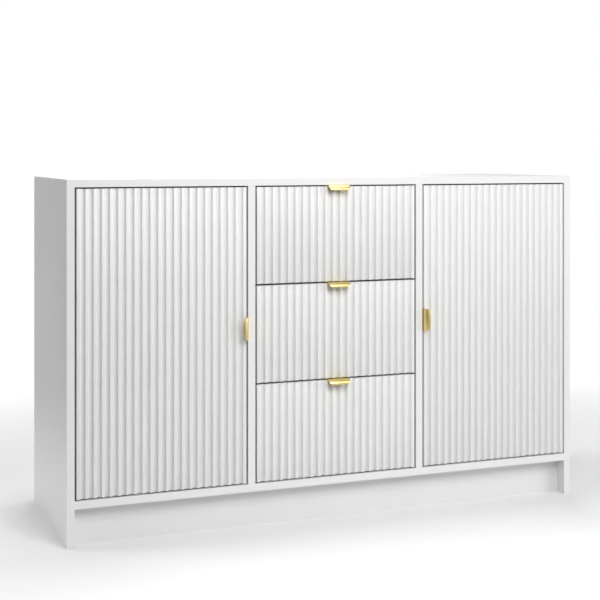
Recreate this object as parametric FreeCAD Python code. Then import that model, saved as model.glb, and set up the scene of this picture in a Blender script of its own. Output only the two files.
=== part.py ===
"""Fluted sideboard: two hinged cupboards with a bank of three drawers between them.

Millimetres, +Z up, the fronts face -Y.  The origin is on the floor, at the
middle of the bounding box (cabinet plus the reach of the handles).
"""
import FreeCAD, Part
import math
import os

from FreeCAD import Vector

# ---------------------------------------------------------------- driving sizes
WIDTH = 1190.0
DEPTH = 395.0
HEIGHT = 750.0
BOARD = 16.0
PLINTH_HEIGHT = 80.0
PLINTH_RECESS = 30.0
REAR_PLINTH_INSET = 16.0
CENTRE_BAY = 382.0

BACK_THICKNESS = 3.0
BACK_INSET = 10.0
BACK_FIT = 0.2
GROOVE_DEPTH = 6.0
GROOVE_PLAY = 0.5
STRIP_WIDTH = 18.0
STRIP_SHEET = 1.0

FRONT_THICKNESS = 18.0
SIDE_GAP = 4.0
END_GAP = 3.0
DRAWER_GAP = 4.0
FLUTES = 21
FLUTE_LAND = 6.7
EDGE_LAND = 7.5
FLUTE_DEPTH = 4.6

HANDLE_LENGTH = 50.0
HANDLE_TIP = 31.0
HANDLE_REACH = 17.0
HANDLE_BEND = 10.0
HANDLE_DROP = 8.5
HANDLE_SHEET = 2.0
HANDLE_LEG = 12.0
HANDLE_SCREW_HALF = 15.0
DOOR_HANDLE_Z = 429.5

SHELF_BOARD = 15.0
SHELF_Z = 408.0
SHELF_SETBACK = 22.0
SHELF_PLAY = 1.0
PIN_RADIUS = 2.5
PIN_COLLAR_RADIUS = 4.0
PIN_SHOULDER = 8.0
PIN_DEPTH = 9.0
PIN_PITCH = 32.0
PIN_HOLES = 5
# Pin columns: behind the shelf's front edge, and before the back.
PIN_SETBACKS = (40.0, 60.0)

# Fixing rows: behind the front plane, and before the rear plane.
FIXING_SETBACKS = (62.0, 78.0)
CAM_RADIUS = 7.5
CAM_DEPTH = 12.5
CAM_SUNK = 0.3
CAM_SETBACK = 34.0
CAM_CROSS = (4.0, 0.7, 1.2)
BOLT_RADIUS = 3.5
BOLT_SHORT = 4.0
BOLT_THREAD_RADIUS = 2.5
BOLT_THREAD = 10.0
DOWEL_RADIUS = 4.0
DOWEL_SHALLOW = 11.0
DOWEL_DEEP = 24.0
DOWEL_OFFSET = 32.0
DRILL_PLAY = 0.5
FIT = 0.1

SCREW_TIP = 3.0
SCREW_POINT_RADIUS = 0.3
SCREW_PROUD = 0.3
# Cross recess of a screw: half length and half width of its arms, and its depth.
SCREW_CROSS = (1.7, 0.35, 0.9)

HINGE_INSET = 90.0
CUP_RADIUS = 17.5
CUP_DEPTH = 12.0
CUP_EDGE = 3.0
CUP_WALL = 0.8
CUP_FLANGE = 1.0
CUP_FLANGE_RADIUS = 19.0
CUP_EAR_OFFSET = 9.5
CUP_EAR_HALF = (6.0, 30.0)
CUP_SCREW_HALF = 24.0
CUP_PIN_HALF = 12.5
HINGE_PIN_RADIUS = 2.0
HINGE_FIT = 0.05
# Hinge pivots: x from the side panel's inner face, y behind the front plane.
CUP_PIVOT = (12.0, 10.0)
ARM_PIVOT = (30.0, 17.5)
LINK_HALF_WIDTH = 4.0
LINK_THICKNESS = 1.6
LINK_BOW = 5.2
LINK_EYE = 2.8
CHEEK_INNER = 4.7
CHEEK_OUTER = 6.2
# Side view of a cheek's nose: (x, y) corners in the same terms as the pivots.
CHEEK_NOSE = (
    (9, 46), (13.5, 46), (33, 23), (33, 16), (31.5, 15), (28.5, 15), (26.5, 21), (9, 33),
)
ARM_BACK = (11.5, 13.5)
ARM_SPAN = (36.0, 82.0)
ADJUSTER_RADIUS = 3.2
ADJUSTER_SPACING = 19.0
ADJUSTER_SLOT = (2.5, 0.5)
BLOCK_HALF = 4.4
BLOCK_HEIGHT = 11.4
BLOCK_SPAN = (40.0, 80.0)
PLATE_THICKNESS = 2.5
PLATE_HALF = (8.0, 26.0)
PLATE_SETBACK = 55.0
PLATE_SCREW_HALF = 16.0

SLIDE_SPACE = 12.7
SLIDE_LENGTH = 350.0
SLIDE_SETBACK = 1.0
SLIDE_SHEET = 1.2
# Each member's section: from and to across the slide space, and half its height.
SLIDE_CABINET = (0.0, 9.5, 22.5)
SLIDE_MIDDLE = (2.4, 9.5, 17.0)
SLIDE_DRAWER = (4.6, SLIDE_SPACE, 12.0)
# Slide screws: behind the rear face of the fronts.
CABINET_SCREW_YS = (37.0, 261.0)
DRAWER_SCREW_YS = (40.0, 230.0)
BOX_SIDE = 12.0
BOX_HEIGHT = 130.0
BOX_BACK_DROP = 6.0
BOX_RAISE = 28.0
BOX_BOTTOM = 3.0
BOX_BOTTOM_RAISE = 10.0
BOX_BOTTOM_PLAY = 0.3
BOX_GROOVE = 5.0
# Screws of the box's back: above the side's lower edge and below its upper edge.
BOX_SCREW_INSETS = (30.0, 25.0)

# --------------------------------------------------------------- worked-out places
FRONT_Y = -(DEPTH + HANDLE_REACH) / 2 + HANDLE_REACH
BACK_Y = FRONT_Y + DEPTH
INNER_X = WIDTH / 2 - BOARD
DIVIDER_X = CENTRE_BAY / 2
FLOOR_Z = PLINTH_HEIGHT + BOARD
CEILING_Z = HEIGHT - BOARD
BACK_FACE_Y = BACK_Y - BACK_INSET - BACK_THICKNESS
DIVIDER_END_Y = BACK_FACE_Y - 1.5
FRONT_REAR_Y = FRONT_Y + FRONT_THICKNESS
FRONT_BOTTOM_Z = FLOOR_Z + END_GAP
FRONT_TOP_Z = CEILING_Z - END_GAP
DRAWER_HEIGHT = (FRONT_TOP_Z - FRONT_BOTTOM_Z - 2 * DRAWER_GAP) / 3
HINGE_HEIGHTS = (FRONT_BOTTOM_Z + HINGE_INSET, FRONT_TOP_Z - HINGE_INSET)
FIXING_YS = (FRONT_Y + FIXING_SETBACKS[0], BACK_Y - FIXING_SETBACKS[1])
BOX_HALF = DIVIDER_X - SLIDE_SPACE
CUP_CENTRE = SIDE_GAP + CUP_EDGE + CUP_RADIUS
EAR_CENTRE = CUP_CENTRE + CUP_EAR_OFFSET

X_AXIS = Vector(1, 0, 0)
Y_AXIS = Vector(0, 1, 0)
Z_AXIS = Vector(0, 0, 1)


# ------------------------------------------------------------------ shape helpers
def box(low, high):
    """A box between its lowest and highest corners."""
    size = [b - a for a, b in zip(low, high)]
    return Part.makeBox(*size, Vector(*low))


def cylinder(start, direction, radius, length):
    return Part.makeCylinder(radius, length, start, direction)


def mirrored(shape):
    """The same shape on the other side of the cabinet's middle plane."""
    return shape.mirror(Vector(0, 0, 0), X_AXIS)


def group(solids):
    return Part.makeCompound(solids)


def prism(points, low_z, high_z):
    """An upright prism on a flat outline of (x, y) points."""
    corners = [Vector(x, y, low_z) for x, y in points]
    outline = Part.makePolygon(corners + corners[:1])
    return Part.Face(outline).extrude(Vector(0, 0, high_z - low_z))


def cross_recess(point, outward, half_length, half_width, depth):
    """A driver's cross-shaped recess, let into a face at a point."""
    proud = 0.1
    arm = box((-half_length, -half_width, -depth), (half_length, half_width, proud))
    across = box((-half_width, -half_length, -depth), (half_width, half_length, proud))
    cross = arm.fuse(across)
    cross.Placement = FreeCAD.Placement(point, FreeCAD.Rotation(Z_AXIS, outward))
    return cross


def screw(head_point, direction, length, head_radius=3.5, shank_radius=1.8, recess=True):
    """A countersunk screw, from its head's outer face along a direction.

    Without the recess it is the whole space that the screw takes up in a board.
    """
    head_height = head_radius - shank_radius
    head = Part.makeCone(head_radius, shank_radius, head_height, head_point, direction)
    shank = cylinder(head_point, direction, shank_radius, length - SCREW_TIP)
    tip_start = head_point + direction * (length - SCREW_TIP)
    tip = Part.makeCone(shank_radius, SCREW_POINT_RADIUS, SCREW_TIP, tip_start, direction)
    whole = head.fuse([shank, tip])
    if recess:
        return whole.cut(cross_recess(head_point, -direction, *SCREW_CROSS))
    return whole


# ----------------------------------------------------------------- carcass boards
def carcass_boards():
    """Plain boards of the cabinet, before any hole is drilled."""
    half = WIDTH / 2
    left_side = box((-half, FRONT_Y, 0), (-INNER_X, BACK_Y, CEILING_Z))
    left_divider = box(
        (-DIVIDER_X - BOARD, FRONT_Y, FLOOR_Z),
        (-DIVIDER_X, DIVIDER_END_Y, CEILING_Z),
    )
    plinth_front_y = FRONT_Y + PLINTH_RECESS
    rear_plinth_y = BACK_Y - REAR_PLINTH_INSET
    return {
        "top_panel": box((-half, FRONT_Y, CEILING_Z), (half, BACK_Y, HEIGHT)),
        "left_side_panel": left_side,
        "right_side_panel": mirrored(left_side),
        "bottom_panel": box((-INNER_X, FRONT_Y, PLINTH_HEIGHT), (INNER_X, BACK_Y, FLOOR_Z)),
        "left_divider": left_divider,
        "right_divider": mirrored(left_divider),
        "front_plinth": box(
            (-INNER_X, plinth_front_y, 0),
            (INNER_X, plinth_front_y + BOARD, PLINTH_HEIGHT),
        ),
        "rear_plinth": box(
            (-INNER_X, rear_plinth_y - BOARD, 0),
            (INNER_X, rear_plinth_y, PLINTH_HEIGHT),
        ),
    }


def cut_back_grooves(boards):
    """The groove that holds the thin back, in the sides, the top and the bottom."""
    slot = box(
        (-INNER_X - GROOVE_DEPTH, BACK_FACE_Y - BACK_FIT, FLOOR_Z - GROOVE_DEPTH),
        (INNER_X + GROOVE_DEPTH, BACK_FACE_Y + BACK_THICKNESS + BACK_FIT,
         CEILING_Z + GROOVE_DEPTH),
    )
    for name in ("left_side_panel", "right_side_panel", "top_panel", "bottom_panel"):
        boards[name] = boards[name].cut(slot)


def back_panels():
    """Three hardboard sheets, held at the dividers by two H-shaped strips."""
    low_z = FLOOR_Z - GROOVE_DEPTH + GROOVE_PLAY
    high_z = CEILING_Z + GROOVE_DEPTH - GROOVE_PLAY
    joint_x = DIVIDER_X + BOARD / 2
    web_half = STRIP_SHEET / 2
    sheet_gap = web_half + 0.3
    rear_face = BACK_FACE_Y + BACK_THICKNESS
    left = box(
        (-INNER_X - GROOVE_DEPTH + GROOVE_PLAY, BACK_FACE_Y, low_z),
        (-joint_x - sheet_gap, rear_face, high_z),
    )
    centre = box(
        (-joint_x + sheet_gap, BACK_FACE_Y, low_z),
        (joint_x - sheet_gap, rear_face, high_z),
    )
    flange_half = STRIP_WIDTH / 2
    inner_front = BACK_FACE_Y - BACK_FIT
    inner_rear = rear_face + BACK_FIT
    strip_low = FLOOR_Z + GROOVE_PLAY
    strip_high = CEILING_Z - GROOVE_PLAY
    web = box(
        (-joint_x - web_half, inner_front - STRIP_SHEET, strip_low),
        (-joint_x + web_half, inner_rear + STRIP_SHEET, strip_high),
    )
    front_flange = box(
        (-joint_x - flange_half, inner_front - STRIP_SHEET, strip_low),
        (-joint_x + flange_half, inner_front, strip_high),
    )
    rear_flange = box(
        (-joint_x - flange_half, inner_rear, strip_low),
        (-joint_x + flange_half, inner_rear + STRIP_SHEET, strip_high),
    )
    strip = web.fuse([front_flange, rear_flange])
    return {
        "left_back_panel": left,
        "centre_back_panel": centre,
        "right_back_panel": mirrored(left),
        "back_joining_strips": group([strip, mirrored(strip)]),
    }


# ------------------------------------------------------------------ board fixings
def cam_joint(boards, fixings, bored, cammed, point, into, outward):
    """One bolt and cam lock, with a dowel beside it.

    point is on the face of the board that takes the bolt's thread, into points
    from there into the board with the cam, and outward is the normal of the face
    that the cam is let into.
    """
    face_distance = BOARD / 2
    lock_axis_point = point + into * CAM_SETBACK
    cam_top = lock_axis_point + outward * face_distance
    cam_bore = cylinder(cam_top, -outward, CAM_RADIUS, CAM_DEPTH)
    bolt_hole = cylinder(point, into, DOWEL_RADIUS, CAM_SETBACK)
    thread_hole = cylinder(point, -into, BOLT_THREAD_RADIUS, BOLT_THREAD + DRILL_PLAY)
    boards[cammed] = boards[cammed].cut([cam_bore, bolt_hole])
    boards[bored] = boards[bored].cut(thread_hole)

    lock_top = cam_top - outward * CAM_SUNK
    lock = cylinder(lock_top, -outward, CAM_RADIUS - FIT, CAM_DEPTH - DRILL_PLAY)
    cross = cross_recess(lock_top, outward, *CAM_CROSS)
    fixings["cams"].append(lock.cut([bolt_hole, cross]))
    shank = cylinder(point, into, BOLT_RADIUS, CAM_SETBACK - BOLT_SHORT)
    thread = cylinder(point, -into, BOLT_THREAD_RADIUS - FIT, BOLT_THREAD)
    fixings["bolts"].append(shank.fuse(thread))

    cam_faces_y = abs(outward.y) > abs(outward.x) + abs(outward.z)
    dowel_step = Z_AXIS * (DOWEL_OFFSET / 2) if cam_faces_y else Y_AXIS * DOWEL_OFFSET
    dowel_point = point + dowel_step
    dowel_hole = cylinder(
        dowel_point - into * (DOWEL_SHALLOW + DRILL_PLAY),
        into,
        DOWEL_RADIUS,
        DOWEL_SHALLOW + DOWEL_DEEP + 2 * DRILL_PLAY,
    )
    boards[cammed] = boards[cammed].cut(dowel_hole)
    boards[bored] = boards[bored].cut(dowel_hole)
    fixings["dowels"].append(cylinder(
        dowel_point - into * DOWEL_SHALLOW,
        into,
        DOWEL_RADIUS - FIT / 2,
        DOWEL_SHALLOW + DOWEL_DEEP,
    ))


def drill_and_join(boards):
    """Drill every board joint and return the cams, bolts and dowels as groups."""
    fixings = {"cams": [], "bolts": [], "dowels": []}
    down = -Z_AXIS
    for side, hand in (("left", -1), ("right", 1)):
        inward = X_AXIS * -hand
        side_board = side + "_side_panel"
        divider = side + "_divider"
        side_mid = hand * (INNER_X + BOARD / 2)
        divider_mid = hand * (DIVIDER_X + BOARD / 2)
        for y in FIXING_YS:
            cam_joint(boards, fixings, "top_panel", side_board,
                      Vector(side_mid, y, CEILING_Z), down, inward)
            cam_joint(boards, fixings, "top_panel", divider,
                      Vector(divider_mid, y, CEILING_Z), down, -inward)
            cam_joint(boards, fixings, "bottom_panel", divider,
                      Vector(divider_mid, y, FLOOR_Z), Z_AXIS, -inward)
            cam_joint(boards, fixings, side_board, "bottom_panel",
                      Vector(hand * INNER_X, y, FLOOR_Z - BOARD / 2), inward, down)
        plinth_z = PLINTH_HEIGHT / 2
        front_mid = FRONT_Y + PLINTH_RECESS + BOARD / 2
        rear_mid = BACK_Y - REAR_PLINTH_INSET - BOARD / 2
        cam_joint(boards, fixings, side_board, "front_plinth",
                  Vector(hand * INNER_X, front_mid, plinth_z), inward, Y_AXIS)
        cam_joint(boards, fixings, side_board, "rear_plinth",
                  Vector(hand * INNER_X, rear_mid, plinth_z), inward, -Y_AXIS)
    return {
        "cam_locks_and_bolts": group(fixings["cams"] + fixings["bolts"]),
        "wood_dowels": group(fixings["dowels"]),
    }


# ------------------------------------------------------------------------ shelves
def shelf_pin_columns():
    """The y places of the two pin-hole columns in each upright board."""
    shelf_front = FRONT_REAR_Y + SHELF_SETBACK
    return (shelf_front + PIN_SETBACKS[0], BACK_FACE_Y - PIN_SETBACKS[1])


def cut_pin_holes(boards):
    """Rows of shelf-pin holes in the four faces that look into a cupboard."""
    holes = []
    faces = ((-INNER_X, -1), (-DIVIDER_X - BOARD, 1))
    for face_x, into in faces:
        for y in shelf_pin_columns():
            for step in range(PIN_HOLES):
                z = SHELF_Z - PIN_RADIUS + (step - PIN_HOLES // 2) * PIN_PITCH
                start = Vector(face_x, y, z)
                holes.append(cylinder(start, X_AXIS * into, PIN_RADIUS, PIN_DEPTH))
    left_holes = group(holes)
    right_holes = mirrored(left_holes)
    boards["left_side_panel"] = boards["left_side_panel"].cut(left_holes)
    boards["left_divider"] = boards["left_divider"].cut(left_holes)
    boards["right_side_panel"] = boards["right_side_panel"].cut(right_holes)
    boards["right_divider"] = boards["right_divider"].cut(right_holes)


def shelves():
    """A shelf in each cupboard, lying on four steel pins."""
    left = box(
        (-INNER_X + SHELF_PLAY, FRONT_REAR_Y + SHELF_SETBACK, SHELF_Z),
        (-DIVIDER_X - BOARD - SHELF_PLAY, BACK_FACE_Y - SHELF_PLAY, SHELF_Z + SHELF_BOARD),
    )
    stem_depth = PIN_DEPTH - 2 * DRILL_PLAY
    collar_length = 1.0
    above_shelf_face = box(
        (-INNER_X, FRONT_Y, SHELF_Z),
        (0, BACK_Y, SHELF_Z + PIN_COLLAR_RADIUS),
    )
    pins = []
    for face_x, into in ((-INNER_X, -1), (-DIVIDER_X - BOARD, 1)):
        for y in shelf_pin_columns():
            face_point = Vector(face_x, y, SHELF_Z - PIN_RADIUS)
            outward = X_AXIS * -into
            stem = cylinder(
                face_point - outward * stem_depth,
                outward,
                PIN_RADIUS - FIT / 2,
                stem_depth + PIN_SHOULDER,
            )
            collar = cylinder(face_point, outward, PIN_COLLAR_RADIUS, collar_length)
            pins.append(stem.fuse(collar).cut(above_shelf_face))
    left_pins = group(pins)
    return {
        "left_shelf": left,
        "right_shelf": mirrored(left),
        "shelf_pins": group([left_pins, mirrored(left_pins)]),
    }


# ------------------------------------------------------------------ fluted fronts
def fluted_board(low_x, high_x, low_z, high_z):
    """A board whose face has upright concave flutes between flat lands.

    Every front has the same number of flutes, with a wider land at either edge.
    """
    pitch = (high_x - low_x - 2 * EDGE_LAND + FLUTE_LAND) / FLUTES
    rear_left = Vector(low_x, FRONT_REAR_Y, low_z)
    rear_right = Vector(high_x, FRONT_REAR_Y, low_z)
    land_start = Vector(low_x, FRONT_Y, low_z)
    edges = [Part.makeLine(rear_left, land_start)]
    for index in range(FLUTES):
        start_x = low_x + EDGE_LAND + index * pitch
        end_x = start_x + pitch - FLUTE_LAND
        start = Vector(start_x, FRONT_Y, low_z)
        deepest = Vector((start_x + end_x) / 2, FRONT_Y + FLUTE_DEPTH, low_z)
        end = Vector(end_x, FRONT_Y, low_z)
        edges.append(Part.makeLine(land_start, start))
        edges.append(Part.Arc(start, deepest, end).toShape())
        land_start = end
    land_end = Vector(high_x, FRONT_Y, low_z)
    edges.append(Part.makeLine(land_start, land_end))
    edges.append(Part.makeLine(land_end, rear_right))
    edges.append(Part.makeLine(rear_right, rear_left))
    return Part.Face(Part.Wire(edges)).extrude(Vector(0, 0, high_z - low_z))


def edge_pull():
    """A bent sheet pull on an edge at z = 0, with the board below the edge."""
    rear = FRONT_REAR_Y
    tip_y = FRONT_Y - HANDLE_REACH
    inner_bend = HANDLE_BEND - HANDLE_SHEET
    bend_y = tip_y + HANDLE_BEND
    bend_z = HANDLE_SHEET - HANDLE_BEND
    diagonal = math.sqrt(0.5)

    def at(y, z):
        return Vector(-HANDLE_LENGTH / 2, y, z)

    outer_arc = Part.Arc(
        at(bend_y, HANDLE_SHEET),
        at(bend_y - HANDLE_BEND * diagonal, bend_z + HANDLE_BEND * diagonal),
        at(tip_y, bend_z),
    ).toShape()
    inner_arc = Part.Arc(
        at(tip_y + HANDLE_SHEET, bend_z),
        at(bend_y - inner_bend * diagonal, bend_z + inner_bend * diagonal),
        at(bend_y, 0),
    ).toShape()
    outline = [
        Part.makeLine(at(rear + HANDLE_SHEET, -HANDLE_LEG), at(rear + HANDLE_SHEET, HANDLE_SHEET)),
        Part.makeLine(at(rear + HANDLE_SHEET, HANDLE_SHEET), at(bend_y, HANDLE_SHEET)),
        outer_arc,
        Part.makeLine(at(tip_y, bend_z), at(tip_y, -HANDLE_DROP)),
        Part.makeLine(at(tip_y, -HANDLE_DROP), at(tip_y + HANDLE_SHEET, -HANDLE_DROP)),
        Part.makeLine(at(tip_y + HANDLE_SHEET, -HANDLE_DROP), at(tip_y + HANDLE_SHEET, bend_z)),
        inner_arc,
        Part.makeLine(at(bend_y, 0), at(rear, 0)),
        Part.makeLine(at(rear, 0), at(rear, -HANDLE_LEG)),
        Part.makeLine(at(rear, -HANDLE_LEG), at(rear + HANDLE_SHEET, -HANDLE_LEG)),
    ]
    pull = Part.Face(Part.Wire(outline)).extrude(Vector(HANDLE_LENGTH, 0, 0))

    # The lip narrows towards its tip with rounded ends.
    base = HANDLE_LENGTH / 2
    tip = HANDLE_TIP / 2
    lip_front = tip_y - HANDLE_SHEET

    def on_face(x, z):
        return Vector(x, lip_front, z)

    shoulder_x = tip + (base - tip) * 0.75
    shoulder_z = -HANDLE_DROP * 0.62
    lip_outline = Part.Wire([
        Part.Arc(on_face(base, 0), on_face(shoulder_x, shoulder_z),
                 on_face(tip, -HANDLE_DROP)).toShape(),
        Part.makeLine(on_face(tip, -HANDLE_DROP), on_face(-tip, -HANDLE_DROP)),
        Part.Arc(on_face(-tip, -HANDLE_DROP), on_face(-shoulder_x, shoulder_z),
                 on_face(-base, 0)).toShape(),
        Part.makeLine(on_face(-base, 0), on_face(-base, HANDLE_SHEET)),
        Part.makeLine(on_face(-base, HANDLE_SHEET), on_face(base, HANDLE_SHEET)),
        Part.makeLine(on_face(base, HANDLE_SHEET), on_face(base, 0)),
    ])
    lip_space = Part.Face(lip_outline).extrude(Vector(0, FRONT_Y - lip_front, 0))
    tab_space = box(
        (-base, FRONT_Y, -HANDLE_LEG),
        (base, rear + HANDLE_SHEET, HANDLE_SHEET),
    )
    return pull.common(lip_space.fuse(tab_space)).cut(pull_screws(recess=False))


def pull_screws(recess=True):
    """The two screws of an edge pull, driven from behind the front board."""
    head_y = FRONT_REAR_Y + HANDLE_SHEET + SCREW_PROUD
    screws = []
    for x in (-HANDLE_SCREW_HALF, HANDLE_SCREW_HALF):
        head = Vector(x, head_y, -HANDLE_LEG / 2)
        screws.append(screw(head, -Y_AXIS, 12, head_radius=3.2, shank_radius=1.6, recess=recess))
    return screws


def on_drawer_edge(shape, top_z):
    moved = shape.copy()
    moved.translate(Vector(0, 0, top_z))
    return moved


def on_left_door_edge(shape, edge_x):
    """Turn an edge pull from a top edge to a right-hand edge."""
    moved = shape.copy()
    moved.rotate(Vector(0, 0, 0), Y_AXIS, 90)
    moved.translate(Vector(edge_x, 0, DOOR_HANDLE_Z))
    return moved


# --------------------------------------------------------------------- door hinge
def hinge_point(x, y, z=0.0):
    """A point of the left door's hinge: x off the side panel, y behind the face."""
    return Vector(-INNER_X + x, FRONT_Y + y, z)


def hinge_cup():
    """The pressed cup with its two screw ears and the pin that the link turns on."""
    rear = FRONT_THICKNESS
    floor_y = rear - CUP_DEPTH + FIT
    radius = CUP_RADIUS - FIT
    body = cylinder(hinge_point(CUP_CENTRE, floor_y), Y_AXIS, radius, CUP_DEPTH - FIT)
    hollow_start = hinge_point(CUP_CENTRE, floor_y + CUP_WALL)
    hollow = cylinder(hollow_start, Y_AXIS, radius - CUP_WALL, CUP_DEPTH + CUP_FLANGE)
    flange = cylinder(hinge_point(CUP_CENTRE, rear), Y_AXIS, CUP_FLANGE_RADIUS, CUP_FLANGE)
    ear_half_x, ear_half_z = CUP_EAR_HALF
    ears = box(
        tuple(hinge_point(EAR_CENTRE - ear_half_x, rear, -ear_half_z)),
        tuple(hinge_point(EAR_CENTRE + ear_half_x, rear + CUP_FLANGE, ear_half_z)),
    )
    link_relief = box(
        tuple(hinge_point(0, rear - CUP_WALL, -CHEEK_OUTER)),
        tuple(hinge_point(CUP_CENTRE - CUP_RADIUS / 2, rear + 2 * CUP_FLANGE, CHEEK_OUTER)),
    )
    openings = [hollow, link_relief] + hinge_cup_screws(recess=False)
    cup = body.fuse([flange, ears]).cut(openings)
    pin_start = hinge_point(*CUP_PIVOT, -CUP_PIN_HALF)
    pin = cylinder(pin_start, Z_AXIS, HINGE_PIN_RADIUS, 2 * CUP_PIN_HALF)
    pin = pin.common(cylinder(hinge_point(CUP_CENTRE, 0), Y_AXIS, radius, rear))
    return cup.fuse(pin)


def hinge_cup_bore():
    start = hinge_point(CUP_CENTRE, FRONT_THICKNESS - CUP_DEPTH)
    return cylinder(start, Y_AXIS, CUP_RADIUS, CUP_DEPTH)


def hinge_cup_screws(recess=True):
    head_y = FRONT_THICKNESS + CUP_FLANGE + SCREW_PROUD
    return [
        screw(hinge_point(EAR_CENTRE, head_y, z), -Y_AXIS, 13, recess=recess)
        for z in (-CUP_SCREW_HALF, CUP_SCREW_HALF)
    ]


def hinge_link():
    """The cranked link between the arm's pin and the cup's pin."""
    start = hinge_point(*CUP_PIVOT, -LINK_HALF_WIDTH)
    end = hinge_point(*ARM_PIVOT, -LINK_HALF_WIDTH)
    chord = end - start
    chord.normalize()
    towards_cup_floor = Vector(chord.y, -chord.x, 0)
    middle = (start + end) * 0.5 + towards_cup_floor * LINK_BOW
    half = LINK_THICKNESS / 2

    def offset_arc(side):
        circle = Part.Arc(start, middle, end).toShape().Curve
        scale = 1 + side * half / circle.Radius
        return [circle.Center + (p - circle.Center) * scale for p in (start, middle, end)]

    outer = offset_arc(1)
    inner = offset_arc(-1)
    strap_outline = Part.Wire([
        Part.Arc(*outer).toShape(),
        Part.makeLine(outer[2], inner[2]),
        Part.Arc(inner[2], inner[1], inner[0]).toShape(),
        Part.makeLine(inner[0], outer[0]),
    ])
    width = Vector(0, 0, 2 * LINK_HALF_WIDTH)
    strap = Part.Face(strap_outline).extrude(width)
    eyes = [cylinder(p, Z_AXIS, LINK_EYE, 2 * LINK_HALF_WIDTH) for p in (start, end)]
    holes = [
        cylinder(p, Z_AXIS, HINGE_PIN_RADIUS + HINGE_FIT, 2 * LINK_HALF_WIDTH)
        for p in (start, end)
    ]
    return strap.fuse(eyes).cut(holes)


def hinge_arm():
    """The arm on the mounting plate, with two cheeks that hold the link's pin."""
    outline = [tuple(hinge_point(x, y))[:2] for x, y in CHEEK_NOSE]
    cheeks = [
        prism(outline, CHEEK_INNER, CHEEK_OUTER),
        prism(outline, -CHEEK_OUTER, -CHEEK_INNER),
    ]
    back_low, back_high = ARM_BACK
    start_y, end_y = ARM_SPAN
    flange_low = CHEEK_NOSE[0][0]
    back = box(
        tuple(hinge_point(back_low, start_y, -CHEEK_OUTER)),
        tuple(hinge_point(back_high, end_y, CHEEK_OUTER)),
    )
    flanges = [
        box(tuple(hinge_point(flange_low, start_y, low_z)),
            tuple(hinge_point(back_high, end_y, low_z + CHEEK_OUTER - CHEEK_INNER)))
        for low_z in (-CHEEK_OUTER, CHEEK_INNER)
    ]
    pin = cylinder(hinge_point(*ARM_PIVOT, -CHEEK_OUTER), Z_AXIS, HINGE_PIN_RADIUS, 2 * CHEEK_OUTER)
    slot_half_y, slot_half_z = ADJUSTER_SLOT
    head_top = back_high + 1.5
    slot_floor = head_top - 0.8
    adjusters = []
    slots = []
    for y in (PLATE_SETBACK, PLATE_SETBACK + ADJUSTER_SPACING):
        adjusters.append(cylinder(hinge_point(back_high - 0.5, y), X_AXIS, ADJUSTER_RADIUS, 2.0))
        slots.append(box(tuple(hinge_point(slot_floor, y - slot_half_y, -slot_half_z)),
                         tuple(hinge_point(head_top + 0.5, y + slot_half_y, slot_half_z))))
    return back.fuse(cheeks + flanges + [pin] + adjusters).cut(slots)


def hinge_plate():
    """The cross-shaped mounting plate on the side panel, under the arm."""
    half_y, half_z = PLATE_HALF
    wings = box(
        tuple(hinge_point(0, PLATE_SETBACK - half_y, -half_z)),
        tuple(hinge_point(PLATE_THICKNESS, PLATE_SETBACK + half_y, half_z)),
    )
    start_y, end_y = BLOCK_SPAN
    block = box(
        tuple(hinge_point(0, start_y, -BLOCK_HALF)),
        tuple(hinge_point(BLOCK_HEIGHT, end_y, BLOCK_HALF)),
    )
    return wings.fuse(block).cut(hinge_plate_screws(recess=False))


def hinge_plate_screws(recess=True):
    screws = []
    for z in (-PLATE_SCREW_HALF, PLATE_SCREW_HALF):
        head = hinge_point(PLATE_THICKNESS + SCREW_PROUD, PLATE_SETBACK, z)
        screws.append(screw(head, -X_AXIS, 14, head_radius=4.0, shank_radius=2.1, recess=recess))
    return screws


def at_both_heights(shapes):
    """Copies of a hinge piece, one at each hinge height of a door."""
    copies = []
    for z in HINGE_HEIGHTS:
        for shape in shapes:
            moved = shape.copy()
            moved.translate(Vector(0, 0, z))
            copies.append(moved)
    return group(copies)


# -------------------------------------------------------------------------- doors
def door_parts():
    """The pieces that ride on the left door; the right door mirrors them."""
    low_x = -INNER_X + SIDE_GAP
    high_x = -DIVIDER_X - BOARD - SIDE_GAP
    door = fluted_board(low_x, high_x, FRONT_BOTTOM_Z, FRONT_TOP_Z)
    cup_screws = at_both_heights(hinge_cup_screws()).Solids
    handle_screws = [on_left_door_edge(s, high_x) for s in pull_screws()]
    cup_spaces = at_both_heights(hinge_cup_screws(recess=False) + [hinge_cup_bore()]).Solids
    handle_spaces = [on_left_door_edge(s, high_x) for s in pull_screws(recess=False)]
    door = door.cut(cup_spaces + handle_spaces)
    return {
        "door": door,
        "door_handle": on_left_door_edge(edge_pull(), high_x),
        "hinge_cups": at_both_heights([hinge_cup()]),
        "door_screws": group(cup_screws + handle_screws),
        "hinge_links": at_both_heights([hinge_link()]),
    }


def door_nodes():
    nodes = {}
    for piece, shape in door_parts().items():
        nodes["left_" + piece] = shape
        nodes["right_" + piece] = mirrored(shape)
    return nodes


# ------------------------------------------------------------------------ drawers
def channel(low_x, high_x, half_height, web_at_low):
    """A slide member: a C-shaped steel channel along y, centred on z = 0."""
    start = FRONT_REAR_Y + SLIDE_SETBACK
    end = start + SLIDE_LENGTH
    outer = box((low_x, start, -half_height), (high_x, end, half_height))
    hollow_low = low_x + SLIDE_SHEET if web_at_low else low_x - SLIDE_SHEET
    hollow_high = high_x + SLIDE_SHEET if web_at_low else high_x - SLIDE_SHEET
    hollow = box(
        (hollow_low, start - SLIDE_SHEET, -half_height + SLIDE_SHEET),
        (hollow_high, end + SLIDE_SHEET, half_height - SLIDE_SHEET),
    )
    return outer.cut(hollow)


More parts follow.
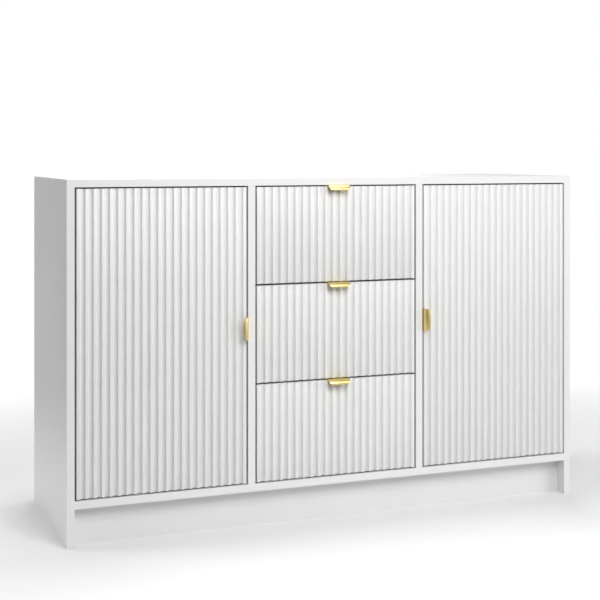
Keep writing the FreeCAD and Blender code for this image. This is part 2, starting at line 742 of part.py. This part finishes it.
def slide_pair(section, web_at_low=True):
    """One of a slide's three members, on both sides of a drawer."""
    low, high, half_height = section
    left = channel(low - DIVIDER_X, high - DIVIDER_X, half_height, web_at_low)
    return [left, mirrored(left)]


def raised(shapes, z):
    moved = [shape.copy() for shape in shapes]
    for shape in moved:
        shape.translate(Vector(0, 0, z))
    return moved


def slide_axis_z(front_low_z):
    return front_low_z + BOX_RAISE + BOX_HEIGHT / 2


def drawer_screws(front_low_z, recess=True):
    """Screws through the box sides into the back, and through the slides."""
    back_y = FRONT_REAR_Y + SLIDE_LENGTH - BOX_SIDE / 2
    low = front_low_z + BOX_RAISE
    screws = []
    for z in (low + BOX_SCREW_INSETS[0], low + BOX_HEIGHT - BOX_SCREW_INSETS[1]):
        head = Vector(-BOX_HALF, back_y, z)
        screws.append(screw(head, X_AXIS, 38, head_radius=3.4, recess=recess))
    for y in DRAWER_SCREW_YS:
        head = Vector(-BOX_HALF - SLIDE_SHEET, FRONT_REAR_Y + y, slide_axis_z(front_low_z))
        screws.append(screw(head, X_AXIS, 11, head_radius=3.2, shank_radius=1.6, recess=recess))
    return screws + [mirrored(s) for s in screws]


def drawer_nodes(name, low_z):
    """One drawer, from its front board to its slides."""
    low_x = -DIVIDER_X + SIDE_GAP
    high_z = low_z + DRAWER_HEIGHT
    front = fluted_board(low_x, -low_x, low_z, high_z)
    box_low = low_z + BOX_RAISE
    box_high = box_low + BOX_HEIGHT
    rear_y = FRONT_REAR_Y + SLIDE_LENGTH
    inner = BOX_HALF - BOX_SIDE
    side = box((-BOX_HALF, FRONT_REAR_Y, box_low), (-inner, rear_y, box_high))
    back_low = (-inner, rear_y - BOX_SIDE, box_low)
    back = box(back_low, (inner, rear_y, box_high - BOX_BACK_DROP))
    bottom_low = box_low + BOX_BOTTOM_RAISE
    reach = BOX_GROOVE - BOX_BOTTOM_PLAY
    bottom = box(
        (-inner - reach, FRONT_REAR_Y - reach, bottom_low),
        (inner + reach, rear_y - BOX_SIDE + reach, bottom_low + BOX_BOTTOM),
    )
    groove = box(
        (-inner - BOX_GROOVE, FRONT_REAR_Y - BOX_GROOVE, bottom_low - FIT),
        (inner + BOX_GROOVE, rear_y - BOX_SIDE + BOX_GROOVE, bottom_low + BOX_BOTTOM + FIT),
    )
    screws = drawer_screws(low_z) + [on_drawer_edge(s, high_z) for s in pull_screws()]
    box_spaces = drawer_screws(low_z, recess=False)
    pull_spaces = [on_drawer_edge(s, high_z) for s in pull_screws(recess=False)]
    side = side.cut(groove).cut(box_spaces)
    back = back.cut(groove).cut(box_spaces)
    slide_z = slide_axis_z(low_z)
    drawer_members = raised(slide_pair(SLIDE_DRAWER, web_at_low=False), slide_z)
    return {
        name + "_front": front.cut(groove).cut(pull_spaces),
        name + "_left_side": side,
        name + "_right_side": mirrored(side),
        name + "_back": back,
        name + "_bottom": bottom,
        name + "_handle": on_drawer_edge(edge_pull(), high_z),
        name + "_slide_members": group(drawer_members).cut(box_spaces),
        name + "_screws": group(screws),
        name + "_middle_slide_members": group(raised(slide_pair(SLIDE_MIDDLE), slide_z)),
    }


# ----------------------------------------------------------- hardware on the body
def cabinet_screws(drawer_lows, recess=True):
    """The screws of the hinge plates and of the fixed slide members."""
    left = at_both_heights(hinge_plate_screws(recess)).Solids
    for low_z in drawer_lows:
        for y in CABINET_SCREW_YS:
            head = Vector(SLIDE_SHEET - DIVIDER_X, FRONT_REAR_Y + y, slide_axis_z(low_z))
            one = screw(head, -X_AXIS, 12, head_radius=3.2, shank_radius=1.7, recess=recess)
            left.append(one)
    return left + [mirrored(s) for s in left]


def cabinet_hardware(boards, drawer_lows):
    """Hinge plates and arms, the fixed slide members, and the screws for them."""
    plates = at_both_heights([hinge_plate()])
    arms = at_both_heights([hinge_arm()])
    slides = []
    for low_z in drawer_lows:
        slides += raised(slide_pair(SLIDE_CABINET), slide_axis_z(low_z))
    spaces = cabinet_screws(drawer_lows, recess=False)
    for name in ("left_side_panel", "right_side_panel", "left_divider", "right_divider"):
        boards[name] = boards[name].cut(spaces)
    return {
        "hinge_mounting_plates": group([plates, mirrored(plates)]),
        "hinge_arms": group([arms, mirrored(arms)]),
        "slide_cabinet_members": group(slides).cut(spaces),
        "cabinet_hardware_screws": group(cabinet_screws(drawer_lows)),
    }


# --------------------------------------------------------------------- whole model
def build():
    boards = carcass_boards()
    cut_back_grooves(boards)
    cut_pin_holes(boards)
    nodes = drill_and_join(boards)
    nodes.update(back_panels())
    nodes.update(shelves())
    nodes.update(door_nodes())
    drawer_step = DRAWER_HEIGHT + DRAWER_GAP
    drawer_lows = [FRONT_BOTTOM_Z + i * drawer_step for i in range(3)]
    for name, low_z in zip(("bottom_drawer", "middle_drawer", "top_drawer"), drawer_lows):
        nodes.update(drawer_nodes(name, low_z))
    nodes.update(cabinet_hardware(boards, drawer_lows))
    nodes.update(boards)
    return nodes


def write_parts(nodes):
    os.makedirs("parts", exist_ok=True)
    for name, shape in nodes.items():
        solids = shape.Solids
        if not solids or not shape.isValid():
            raise ValueError(name + " is not a valid solid")
        body = solids[0] if len(solids) == 1 else group(solids)
        body.exportStep(os.path.join("parts", name + ".step"))


write_parts(build())
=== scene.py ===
import math

import bmesh
import bpy
from mathutils import Matrix, Vector


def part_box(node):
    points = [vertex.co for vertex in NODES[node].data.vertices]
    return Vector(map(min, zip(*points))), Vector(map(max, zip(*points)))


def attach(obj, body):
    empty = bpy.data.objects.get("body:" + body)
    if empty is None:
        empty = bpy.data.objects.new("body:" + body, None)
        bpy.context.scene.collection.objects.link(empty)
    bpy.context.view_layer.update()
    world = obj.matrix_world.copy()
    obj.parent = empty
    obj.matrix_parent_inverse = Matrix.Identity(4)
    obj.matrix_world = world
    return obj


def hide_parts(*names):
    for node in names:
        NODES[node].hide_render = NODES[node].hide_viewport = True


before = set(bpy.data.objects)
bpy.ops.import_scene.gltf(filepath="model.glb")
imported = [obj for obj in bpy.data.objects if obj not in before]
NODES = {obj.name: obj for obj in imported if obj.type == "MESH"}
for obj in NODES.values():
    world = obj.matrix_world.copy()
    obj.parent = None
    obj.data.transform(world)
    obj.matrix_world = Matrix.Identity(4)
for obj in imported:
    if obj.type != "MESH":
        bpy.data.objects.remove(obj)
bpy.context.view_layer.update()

# ------------------------------------------------------------- sizes, in metres
MM = 0.001
FLUTES = 21
FLUTE_LAND = 6.7 * MM
EDGE_LAND = 7.5 * MM
FLUTE_DEPTH = 4.6 * MM
FLUTE_RIM = 0.7 * MM
RIM_STEPS = 4
FLUTE_STEPS = 14
ARRIS = 0.45 * MM
CUP_RADIUS = 17.5 * MM
CUP_DEPTH = 12.0 * MM
CUP_EDGE = 3.0 * MM
HINGE_INSET = 90.0 * MM
BAND = 1.0 * MM

TOP_LOW, TOP_HIGH = (Vector(c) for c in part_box("top_panel"))
FRONT_Y = TOP_LOW.y
BACK_Y = TOP_HIGH.y
HALF_WIDTH = TOP_HIGH.x
HEIGHT = TOP_HIGH.z

# --------------------------------------------------------------- tones and light
WHITE = 0.73
# strength of the painted shade that darkens the fronts down in the flutes
FLUTE_PAINTED_SHADE = 0.10
WORLD_STRENGTH = 0.05

# ------------------------------------------------------------------------ camera
CAMERA_LEFT = 0.4917
CAMERA_BACK = 2.5781
CAMERA_HEIGHT = 0.8015
CAMERA_TURN = -21.165
LENS = 76.5
SHIFT = -0.2431


# ------------------------------------------------------------------- materials
class Graph:
    """A short way to write one node material."""

    def __init__(self, name):
        self.material = bpy.data.materials.new(name)
        self.material.use_nodes = True
        self.nodes = self.material.node_tree.nodes
        self.links = self.material.node_tree.links
        self.shader = self.nodes["Principled BSDF"]

    def add(self, kind, **settings):
        node = self.nodes.new("ShaderNode" + kind)
        for key, value in settings.items():
            setattr(node, key, value)
        return node

    def feed(self, target, value):
        """Link a socket, or set a plain value on it."""
        if isinstance(value, bpy.types.NodeSocket):
            self.links.new(value, target)
        else:
            target.default_value = value

    def math(self, operation, a, b=0.0, clamp=False):
        node = self.add("Math", operation=operation, use_clamp=clamp)
        self.feed(node.inputs[0], a)
        self.feed(node.inputs[1], b)
        return node.outputs[0]

    def position(self, stretch=(1.0, 1.0, 1.0)):
        """Object coordinates in metres, scaled along the axes."""
        coordinates = self.add("TexCoord").outputs["Object"]
        if stretch == (1.0, 1.0, 1.0):
            return coordinates
        mapping = self.add("Mapping")
        self.links.new(coordinates, mapping.inputs["Vector"])
        mapping.inputs["Scale"].default_value = stretch
        return mapping.outputs["Vector"]

    def noise(self, vector, scale, detail=2.0, roughness=0.5):
        node = self.add("TexNoise")
        self.links.new(vector, node.inputs["Vector"])
        node.inputs["Scale"].default_value = scale
        node.inputs["Detail"].default_value = detail
        node.inputs["Roughness"].default_value = roughness
        return node.outputs["Fac"]

    def ranged(self, value, low, high, from_low=0.0, from_high=1.0):
        node = self.add("MapRange")
        self.feed(node.inputs["Value"], value)
        node.inputs["From Min"].default_value = from_low
        node.inputs["From Max"].default_value = from_high
        node.inputs["To Min"].default_value = low
        node.inputs["To Max"].default_value = high
        return node.outputs["Result"]

    def mix(self, factor, first, second):
        node = self.add("Mix", data_type="RGBA")
        self.feed(node.inputs["Factor"], factor)
        self.feed(node.inputs[6], first)
        self.feed(node.inputs[7], second)
        return node.outputs[2]

    def bump(self, height, distance, strength=1.0, under=None):
        node = self.add("Bump")
        self.links.new(height, node.inputs["Height"])
        node.inputs["Distance"].default_value = distance
        node.inputs["Strength"].default_value = strength
        if under is not None:
            self.links.new(under, node.inputs["Normal"])
        return node.outputs["Normal"]

    def line_at(self, axis, place, half_width):
        """1 within half_width of a plane across an axis, fading to 0 beside it."""
        parts = self.add("SeparateXYZ")
        self.links.new(self.position(), parts.inputs["Vector"])
        offset = self.math("ABSOLUTE", self.math("SUBTRACT", parts.outputs[axis], place))
        return self.math("SUBTRACT", 1.0, self.math("DIVIDE", offset, half_width), clamp=True)

    def finish(self, colour, roughness, normal=None, metallic=0.0, **sockets):
        self.feed(self.shader.inputs["Base Color"], colour)
        self.feed(self.shader.inputs["Roughness"], roughness)
        self.shader.inputs["Metallic"].default_value = metallic
        if normal is not None:
            self.links.new(normal, self.shader.inputs["Normal"])
        for name, value in sockets.items():
            self.shader.inputs[name.replace("_", " ")].default_value = value
        return self.material


def grey(value, warmth=0.0):
    return (value, value * (1 - 0.35 * warmth), value * (1 - warmth), 1.0)


def faced_board(name, tone, seams=(), rough=(0.36, 0.46)):
    """White melamine-faced board: a fine pressed texture and edge-band seams."""
    g = Graph(name)
    place = g.position()
    cloud = g.noise(place, 6.0, detail=3.0)
    pores = g.noise(place, 2600.0, detail=1.0)
    colour = g.mix(cloud, grey(tone * 0.985, 0.004), grey(tone, 0.012))
    height = pores
    for axis, at in seams:
        seam = g.line_at(axis, at, 0.16 * MM)
        colour = g.mix(g.math("MULTIPLY", seam, 0.32), colour, grey(tone * 0.45, 0.02))
        height = g.math("SUBTRACT", height, g.math("MULTIPLY", seam, 3.0))
    normal = g.bump(height, 0.012 * MM, strength=0.6)
    return g.finish(colour, g.ranged(cloud, *rough), normal, IOR=1.45)


def fluted_film(name, tone):
    """Satin film over milled fibreboard, with painted shade that greys it down in the flutes."""
    g = Graph(name)
    place = g.position()
    cloud = g.noise(place, 9.0, detail=3.0)
    peel = g.noise(g.position((1.0, 1.0, 0.35)), 420.0, detail=2.0)
    grain = g.noise(place, 3200.0, detail=1.0)
    film = g.mix(cloud, grey(tone * 0.988, 0.004), grey(tone, 0.010))
    parts = g.add("SeparateXYZ")
    g.links.new(place, parts.inputs["Vector"])
    # painted shade: the colour greys with depth behind the face, standing in for shading in the
    # flutes
    painted_flute_shade = g.ranged(parts.outputs["Y"], 0.0, FLUTE_PAINTED_SHADE, FRONT_Y, FRONT_Y + FLUTE_DEPTH * 0.8)
    colour = g.mix(painted_flute_shade, film, grey(tone * 0.45, 0.01))
    under = g.bump(peel, 0.008 * MM, strength=0.4)
    normal = g.bump(grain, 0.008 * MM, strength=0.5, under=under)
    return g.finish(colour, g.ranged(cloud, 0.36, 0.45), normal, IOR=1.46)


def hardboard(name, tone):
    """Thin lacquered hardboard with its faint felted texture."""
    g = Graph(name)
    place = g.position()
    fibres = g.noise(place, 700.0, detail=4.0, roughness=0.65)
    cloud = g.noise(place, 12.0, detail=3.0)
    colour = g.mix(cloud, grey(tone * 0.96, 0.02), grey(tone, 0.03))
    normal = g.bump(fibres, 0.05 * MM, strength=0.5)
    return g.finish(colour, g.ranged(fibres, 0.5, 0.68), normal)


def linen_foil(name, tone):
    """Drawer-side foil with a fine printed weave."""
    g = Graph(name)
    threads_y = g.noise(g.position((0.08, 0.08, 1.0)), 2400.0, detail=1.0)
    threads_z = g.noise(g.position((1.0, 1.0, 0.08)), 2400.0, detail=1.0)
    weave = g.math("MULTIPLY", g.math("ADD", threads_y, threads_z), 0.5)
    colour = g.mix(weave, grey(tone * 0.93, 0.015), grey(tone, 0.02))
    normal = g.bump(weave, 0.03 * MM, strength=0.6)
    return g.finish(colour, 0.55, normal)


def satin_brass(name, along):
    """Brushed brass: scratches run along the pull, with patches of softer sheen."""
    g = Graph(name)
    stretch = [1.0, 1.0, 1.0]
    stretch[along] = 0.03
    scratches = g.noise(g.position(tuple(stretch)), 9000.0, detail=3.0, roughness=0.7)
    cloud = g.noise(g.position(), 90.0, detail=3.0)
    colour = g.mix(scratches, (0.88, 0.70, 0.27, 1), (0.95, 0.79, 0.37, 1))
    sheen = g.math("ADD", g.ranged(scratches, -0.05, 0.07), g.ranged(cloud, 0.36, 0.44))
    normal = g.bump(scratches, 0.004 * MM, strength=0.5)
    return g.finish(colour, sheen, normal, metallic=1.0)


def plated_steel(name, tone, rough=(0.22, 0.38), rolled=(1.0, 0.06, 1.0)):
    """Bright zinc or nickel plate over rolled sheet."""
    g = Graph(name)
    rolling = g.noise(g.position(rolled), 3000.0, detail=2.0)
    spangle = g.noise(g.position(), 260.0, detail=3.0, roughness=0.6)
    colour = g.mix(spangle, grey(tone * 0.86, -0.03), grey(tone, -0.01))
    normal = g.bump(rolling, 0.004 * MM, strength=0.5)
    return g.finish(colour, g.ranged(spangle, *rough), normal, metallic=1.0)


def moulded_plastic(name, tone):
    g = Graph(name)
    texture = g.noise(g.position(), 1800.0, detail=2.0)
    colour = g.mix(texture, grey(tone * 0.96, 0.01), grey(tone, 0.02))
    normal = g.bump(texture, 0.02 * MM, strength=0.4)
    return g.finish(colour, g.ranged(texture, 0.42, 0.55), normal)


def beech(name):
    """Raw beech with short pores along the dowels."""
    g = Graph(name)
    rings = g.noise(g.position((1.0, 1.0, 0.2)), 260.0, detail=4.0)
    flecks = g.noise(g.position((1.0, 1.0, 0.1)), 1500.0, detail=2.0)
    colour = g.mix(rings, (0.50, 0.33, 0.18, 1), (0.66, 0.47, 0.29, 1))
    normal = g.bump(flecks, 0.03 * MM, strength=0.5)
    return g.finish(colour, g.ranged(flecks, 0.55, 0.7), normal)


def studio_floor(name):
    """Pale paper that thins out to nothing away from the cabinet."""
    g = Graph(name)
    speckle = g.noise(g.position(), 40.0, detail=4.0)
    colour = g.mix(speckle, grey(0.78), grey(0.80))
    material = g.finish(colour, 0.9, Specular_IOR_Level=0.1)
    distance = g.add("VectorMath", operation="LENGTH")
    g.links.new(g.position((1.0, 1.25, 1.0)), distance.inputs[0])
    solid = g.ranged(distance.outputs["Value"], 1.0, 0.0, 0.85, 1.9)
    clear = g.add("BsdfTransparent")
    blend = g.add("MixShader")
    g.links.new(solid, blend.inputs["Fac"])
    g.links.new(clear.outputs["BSDF"], blend.inputs[1])
    g.links.new(g.shader.outputs["BSDF"], blend.inputs[2])
    output = g.nodes["Material Output"].inputs["Surface"]
    g.links.new(blend.outputs["Shader"], output)
    return material


FRONT_SEAM = (1, FRONT_Y + BAND)
MATERIALS = {
    "board": faced_board("white_melamine", WHITE, [FRONT_SEAM]),
    "top": faced_board(
        "white_melamine_top", WHITE,
        [FRONT_SEAM, (0, HALF_WIDTH - BAND), (0, BAND - HALF_WIDTH), (1, BACK_Y - BAND)],
    ),
    "fluted": fluted_film("white_fluted_film", WHITE),
    "hardboard": hardboard("white_hardboard", 0.76),
    "foil": linen_foil("drawer_foil", 0.76),
    "brass_x": satin_brass("satin_brass_across", 0),
    "brass_z": satin_brass("satin_brass_upright", 2),
    "zinc": plated_steel("zinc_plate", 0.62),
    "nickel": plated_steel("nickel_plate", 0.70, rough=(0.16, 0.26), rolled=(0.1, 1.0, 1.0)),
    "screws": plated_steel("zinc_screws", 0.58, rough=(0.25, 0.4), rolled=(1.0, 1.0, 1.0)),
    "plastic": moulded_plastic("white_plastic_strip", 0.74),
    "beech": beech("beech_dowel"),
}


# --------------------------------------------------------- carried-over CAD nodes
def soften(node, width, segments=2, limit=40.0):
    """Weld the node's facets and round its edges a little."""
    obj = NODES[node]
    weld = obj.modifiers.new("weld", "WELD")
    weld.merge_threshold = 0.002 * MM
    bevel = obj.modifiers.new("arris", "BEVEL")
    bevel.width = width
    bevel.segments = segments
    bevel.limit_method = "ANGLE"
    bevel.angle_limit = math.radians(limit)
    bevel.miter_outer = "MITER_ARC"


def paint(node, material):
    """Give every slot of a CAD node one material."""
    slots = NODES[node].data.materials
    for index in range(len(slots)):
        slots[index] = MATERIALS[material]


def dress_boards():
    boards = ("left_side_panel", "right_side_panel", "bottom_panel", "left_divider",
              "right_divider", "front_plinth", "rear_plinth", "left_shelf", "right_shelf")
    for node in boards:
        soften(node, 0.5 * MM)
        paint(node, "board")
    soften("top_panel", 0.7 * MM, segments=3)
    paint("top_panel", "top")
    for side in ("left", "centre", "right"):
        soften(side + "_back_panel", 0.25 * MM)
        paint(side + "_back_panel", "hardboard")
    soften("back_joining_strips", 0.2 * MM)
    paint("back_joining_strips", "plastic")


def dress_hardware():
    for node in ("hinge_arms", "hinge_mounting_plates", "left_hinge_links",
                 "right_hinge_links", "left_hinge_cups", "right_hinge_cups"):
        soften(node, 0.15 * MM)
        paint(node, "nickel")
    for node in ("cabinet_hardware_screws", "left_door_screws", "right_door_screws",
                 "cam_locks_and_bolts", "shelf_pins"):
        paint(node, "screws")
    soften("slide_cabinet_members", 0.2 * MM)
    paint("slide_cabinet_members", "zinc")
    paint("wood_dowels", "beech")


def dress_drawer(name):
    for part in ("_left_side", "_right_side", "_back"):
        soften(name + part, 0.4 * MM)
        paint(name + part, "foil")
    paint(name + "_bottom", "hardboard")
    soften(name + "_slide_members", 0.2 * MM)
    paint(name + "_slide_members", "zinc")
    soften(name + "_middle_slide_members", 0.2 * MM)
    paint(name + "_middle_slide_members", "zinc")
    paint(name + "_screws", "screws")


def dress_handle(node, material):
    soften(node, 0.35 * MM, segments=3, limit=35.0)
    paint(node, material)


# ------------------------------------------------------------------ fluted fronts
def flute_points(start, end, face_y):
    """One round-bottomed flute from rim to rim, with both rims eased."""
    half = (end - start) / 2
    radius = (half * half + FLUTE_DEPTH * FLUTE_DEPTH) / (2 * FLUTE_DEPTH)
    reach = math.asin(half / radius) - FLUTE_RIM / radius
    middle = (start + end) / 2
    centre_y = face_y + FLUTE_DEPTH - radius
    painted_flute_shade = []
    for step in range(FLUTE_STEPS + 1):
        angle = reach * (2 * step / FLUTE_STEPS - 1)
        painted_flute_shade.append((middle + radius * math.sin(angle), centre_y + radius * math.cos(angle)))

    def rim(outer_x, corner_x, inner):
        points = []
        for step in range(RIM_STEPS):
            t = step / RIM_STEPS
            keep, lean, pull = (1 - t) ** 2, 2 * t * (1 - t), t * t
            x = keep * outer_x + lean * corner_x + pull * inner[0]
            y = (keep + lean) * face_y + pull * inner[1]
            points.append((x, y))
        return points

    left = rim(start - FLUTE_RIM, start, painted_flute_shade[0])
    right = rim(end + FLUTE_RIM, end, painted_flute_shade[-1])
    return [*left, *painted_flute_shade, *reversed(right)]


def front_outline(low, high):
    """The front's cross-section, anticlockwise from its rear left corner."""
    pitch = (high.x - low.x - 2 * EDGE_LAND + FLUTE_LAND) / FLUTES
    face = []
    for index in range(FLUTES):
        start = low.x + EDGE_LAND + index * pitch
        face.extend(flute_points(start, start + pitch - FLUTE_LAND, low.y))
    return [
        (low.x, high.y - ARRIS),
        (low.x, low.y + ARRIS),
        (low.x + ARRIS * 0.3, low.y + ARRIS * 0.3),
        (low.x + ARRIS, low.y),
        *face,
        (high.x - ARRIS, low.y),
        (high.x - ARRIS * 0.3, low.y + ARRIS * 0.3),
        (high.x, low.y + ARRIS),
        (high.x, high.y - ARRIS),
        (high.x - ARRIS, high.y),
        (low.x + ARRIS, high.y),
    ]


def inset_outline(points, distance):
    """Move every point of a closed outline inward along its mean normal."""
    moved = []
    for index, (x, y) in enumerate(points):
        before = Vector(points[index - 1])
        after = Vector(points[(index + 1) % len(points)])
        direction = (after - before).normalized()
        moved.append((x - direction.y * distance, y + direction.x * distance))
    return moved


def fluted_mesh(name, low, high):
    """A solid board with a fluted face and softened ends."""
    outline = front_outline(low, high)
    levels = (
        (low.z, ARRIS),
        (low.z + ARRIS * 0.3, ARRIS * 0.3),
        (low.z + ARRIS, 0.0),
        (high.z - ARRIS, 0.0),
        (high.z - ARRIS * 0.3, ARRIS * 0.3),
        (high.z, ARRIS),
    )
    bm = bmesh.new()
    rings = []
    for z, inset in levels:
        ring = inset_outline(outline, inset) if inset else outline
        rings.append([bm.verts.new((x, y, z)) for x, y in ring])
    count = len(outline)
    for lower, upper in zip(rings, rings[1:]):
        for index in range(count):
            following = (index + 1) % count
            bm.faces.new((lower[index], lower[following], upper[following], upper[index]))
    bm.faces.new(list(reversed(rings[0])))
    bm.faces.new(rings[-1])
    bmesh.ops.recalc_face_normals(bm, faces=bm.faces)
    mesh = bpy.data.meshes.new(name)
    bm.to_mesh(mesh)
    bm.free()
    return mesh


def smooth_by_angle(mesh, degrees):
    for polygon in mesh.polygons:
        polygon.use_smooth = True
    mesh.set_sharp_from_angle(angle=math.radians(degrees))


def cut_bores(obj, centres, radius, depth, rear_y):
    """Cut flat-bottomed round bores into a board from its rear face."""
    cutter_mesh = bpy.data.meshes.new("bore_cutter")
    bm = bmesh.new()
    extra = 2 * MM
    for x, z in centres:
        place = Matrix.Translation((x, rear_y - (depth - extra) / 2, z))
        turn = Matrix.Rotation(math.pi / 2, 4, "X")
        bmesh.ops.create_cone(
            bm, cap_ends=True, segments=72, radius1=radius, radius2=radius,
            depth=depth + extra, matrix=place @ turn,
        )
    bm.to_mesh(cutter_mesh)
    bm.free()
    cutter = bpy.data.objects.new("bore_cutter", cutter_mesh)
    bpy.context.scene.collection.objects.link(cutter)
    cut = obj.modifiers.new("bores", "BOOLEAN")
    cut.operation = "DIFFERENCE"
    cut.object = cutter
    cut.solver = "EXACT"
    graph = bpy.context.evaluated_depsgraph_get()
    result = bpy.data.meshes.new_from_object(obj.evaluated_get(graph))
    obj.modifiers.clear()
    obj.data = result
    bpy.data.objects.remove(cutter)
    bpy.data.meshes.remove(cutter_mesh)


def add_piece(name, mesh, body, material):
    obj = bpy.data.objects.new(name, mesh)
    bpy.context.scene.collection.objects.link(obj)
    mesh.materials.clear()
    mesh.materials.append(MATERIALS[material])
    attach(obj, body)
    return obj


def make_front(node, body, hinge_side=0):
    """Replace a plain CAD front; hinge_side is -1 or 1 on a door."""
    low, high = (Vector(c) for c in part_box(node))
    mesh = fluted_mesh(node + "_fluted", low, high)
    obj = add_piece(node + "_fluted", mesh, body, "fluted")
    if hinge_side:
        edge = low.x if hinge_side < 0 else high.x
        x = edge - hinge_side * (CUP_EDGE + CUP_RADIUS)
        centres = [(x, low.z + HINGE_INSET), (x, high.z - HINGE_INSET)]
        cut_bores(obj, centres, CUP_RADIUS, CUP_DEPTH, high.y)
    obj.data.materials.clear()
    obj.data.materials.append(MATERIALS["fluted"])
    smooth_by_angle(obj.data, 32)
    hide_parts(node)


def make_fronts():
    make_front("left_door", "left_door", hinge_side=-1)
    make_front("right_door", "right_door", hinge_side=1)
    for name in DRAWERS:
        make_front(name + "_front", name)


# -------------------------------------------------------------------- the studio
def add_floor():
    mesh = bpy.data.meshes.new("studio_floor")
    bm = bmesh.new()
    bmesh.ops.create_grid(bm, x_segments=1, y_segments=1, size=3.0)
    bm.to_mesh(mesh)
    bm.free()
    mesh.materials.append(studio_floor("studio_floor"))
    floor = bpy.data.objects.new("studio_floor", mesh)
    bpy.context.scene.collection.objects.link(floor)


def add_softbox(name, place, target, width, height, watts):
    light = bpy.data.lights.new(name, "AREA")
    light.shape = "RECTANGLE"
    light.size = width
    light.size_y = height
    light.energy = watts
    obj = bpy.data.objects.new(name, light)
    obj.location = place
    obj.rotation_euler = (Vector(target) - Vector(place)).to_track_quat("-Z", "Y").to_euler()
    obj.visible_camera = False
    bpy.context.scene.collection.objects.link(obj)


def add_world():
    """Soft light all round, and plain white behind the cabinet."""
    world = bpy.data.worlds.new("studio")
    bpy.context.scene.world = world
    world.use_nodes = True
    nodes = world.node_tree.nodes
    links = world.node_tree.links
    soft = nodes["Background"]
    soft.inputs["Color"].default_value = (1.0, 1.0, 1.0, 1.0)
    soft.inputs["Strength"].default_value = WORLD_STRENGTH
    backdrop = nodes.new("ShaderNodeBackground")
    backdrop.inputs["Color"].default_value = (1.0, 1.0, 1.0, 1.0)
    path = nodes.new("ShaderNodeLightPath")
    choose = nodes.new("ShaderNodeMixShader")
    links.new(path.outputs["Is Camera Ray"], choose.inputs["Fac"])
    links.new(soft.outputs["Background"], choose.inputs[1])
    links.new(backdrop.outputs["Background"], choose.inputs[2])
    links.new(choose.outputs["Shader"], nodes["World Output"].inputs["Surface"])


def add_lights():
    """Large soft lights in front and behind; none of them shows in the picture."""
    aim = (0.0, -0.19, 0.4)
    add_softbox("front_centre", (0.0, -1.7, 1.5), aim, 1.0, 1.0, 29)
    add_softbox("front_right", (2.2, -1.7, 1.1), aim, 1.5, 1.5, 30)
    add_softbox("over_left", (-1.8, -0.9, 2.6), aim, 1.5, 1.5, 15)
    add_softbox("behind_left", (-2.6, 0.85, 1.0), (-0.595, 0.1, 0.4), 1.2, 1.2, 26)
    add_softbox("overhead", (0.0, 0.35, 2.4), (0.0, 0.1, 0.4), 1.8, 0.9, 33)
    add_softbox("behind", (0.8, 3.0, 1.6), (0.0, 0.2, 0.4), 1.6, 1.4, 30)
    add_world()


def add_camera():
    """A level camera to the left of the front, with the lens shifted down."""
    data = bpy.data.cameras.new("camera")
    data.sensor_width = 36.0
    data.lens = LENS
    data.shift_y = SHIFT
    camera = bpy.data.objects.new("camera", data)
    camera.location = (-HALF_WIDTH - CAMERA_LEFT, FRONT_Y - CAMERA_BACK, CAMERA_HEIGHT)
    camera.rotation_euler = (math.pi / 2, 0.0, math.radians(CAMERA_TURN))
    bpy.context.scene.collection.objects.link(camera)
    bpy.context.scene.camera = camera


def set_look():
    view = bpy.context.scene.view_settings
    view.view_transform = "Standard"
    view.look = "None"
    view.exposure = 0.0
    view.gamma = 1.0


DRAWERS = ("bottom_drawer", "middle_drawer", "top_drawer")
dress_boards()
dress_hardware()
for drawer in DRAWERS:
    dress_drawer(drawer)
    dress_handle(drawer + "_handle", "brass_x")
for side in ("left", "right"):
    dress_handle(side + "_door_handle", "brass_z")
make_fronts()
add_floor()
add_lights()
add_camera()
set_look()
